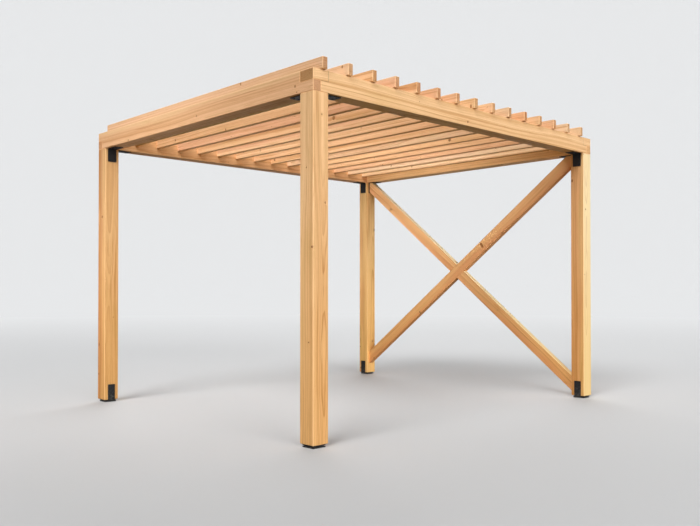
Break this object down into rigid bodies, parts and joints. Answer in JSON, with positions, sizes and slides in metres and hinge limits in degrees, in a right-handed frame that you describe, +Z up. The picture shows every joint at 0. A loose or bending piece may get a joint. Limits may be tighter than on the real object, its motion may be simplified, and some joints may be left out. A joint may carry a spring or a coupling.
{
  "type": "wooden pergola",
  "caption": "Free-standing open timber pergola: square posts on raised steel feet, lapped ring beams, notched rafters, angle brackets and a crossed brace on one side.",
  "frame": {"origin": "on the ground, under the middle of the part's box", "axes": "+X to the right along the front, +Y from front to back, +Z up; the crossed brace is on the +X side"},
  "size_m": [3.7, 3.205, 2.682],
  "materials": {
    "post_timber": "planed and oiled softwood, upright grain",
    "beam_timber": "planed and oiled softwood, long grain",
    "rafter_timber": "planed and oiled softwood, long grain",
    "brace_timber": "planed and oiled softwood, long grain",
    "black_steel": "satin black powder coat"
  },
  "bodies": {
    "root": {"post_front_left": "post_timber", "post_front_right": "post_timber", "post_back_left": "post_timber", "post_back_right": "post_timber", "beam_front": "beam_timber", "beam_back": "beam_timber", "beam_left": "beam_timber", "beam_right": "beam_timber", "rafter_01": "rafter_timber", "rafter_02": "rafter_timber", "rafter_03": "rafter_timber", "rafter_04": "rafter_timber", "rafter_05": "rafter_timber", "rafter_06": "rafter_timber", "rafter_07": "rafter_timber", "rafter_08": "rafter_timber", "rafter_09": "rafter_timber", "rafter_10": "rafter_timber", "rafter_11": "rafter_timber", "rafter_12": "rafter_timber", "rafter_13": "rafter_timber", "rafter_14": "rafter_timber", "rafter_15": "rafter_timber", "brace_rising": "brace_timber", "brace_falling": "brace_timber", "bracket_front_left_x": "black_steel", "bracket_front_left_y": "black_steel", "bracket_front_right_x": "black_steel", "bracket_front_right_y": "black_steel", "bracket_back_left_x": "black_steel", "bracket_back_left_y": "black_steel", "bracket_back_right_x": "black_steel", "bracket_back_right_y": "black_steel", "foot_front_left": "black_steel", "foot_front_right": "black_steel", "foot_back_left": "black_steel", "foot_back_right": "black_steel"}
  },
  "joints": []
}
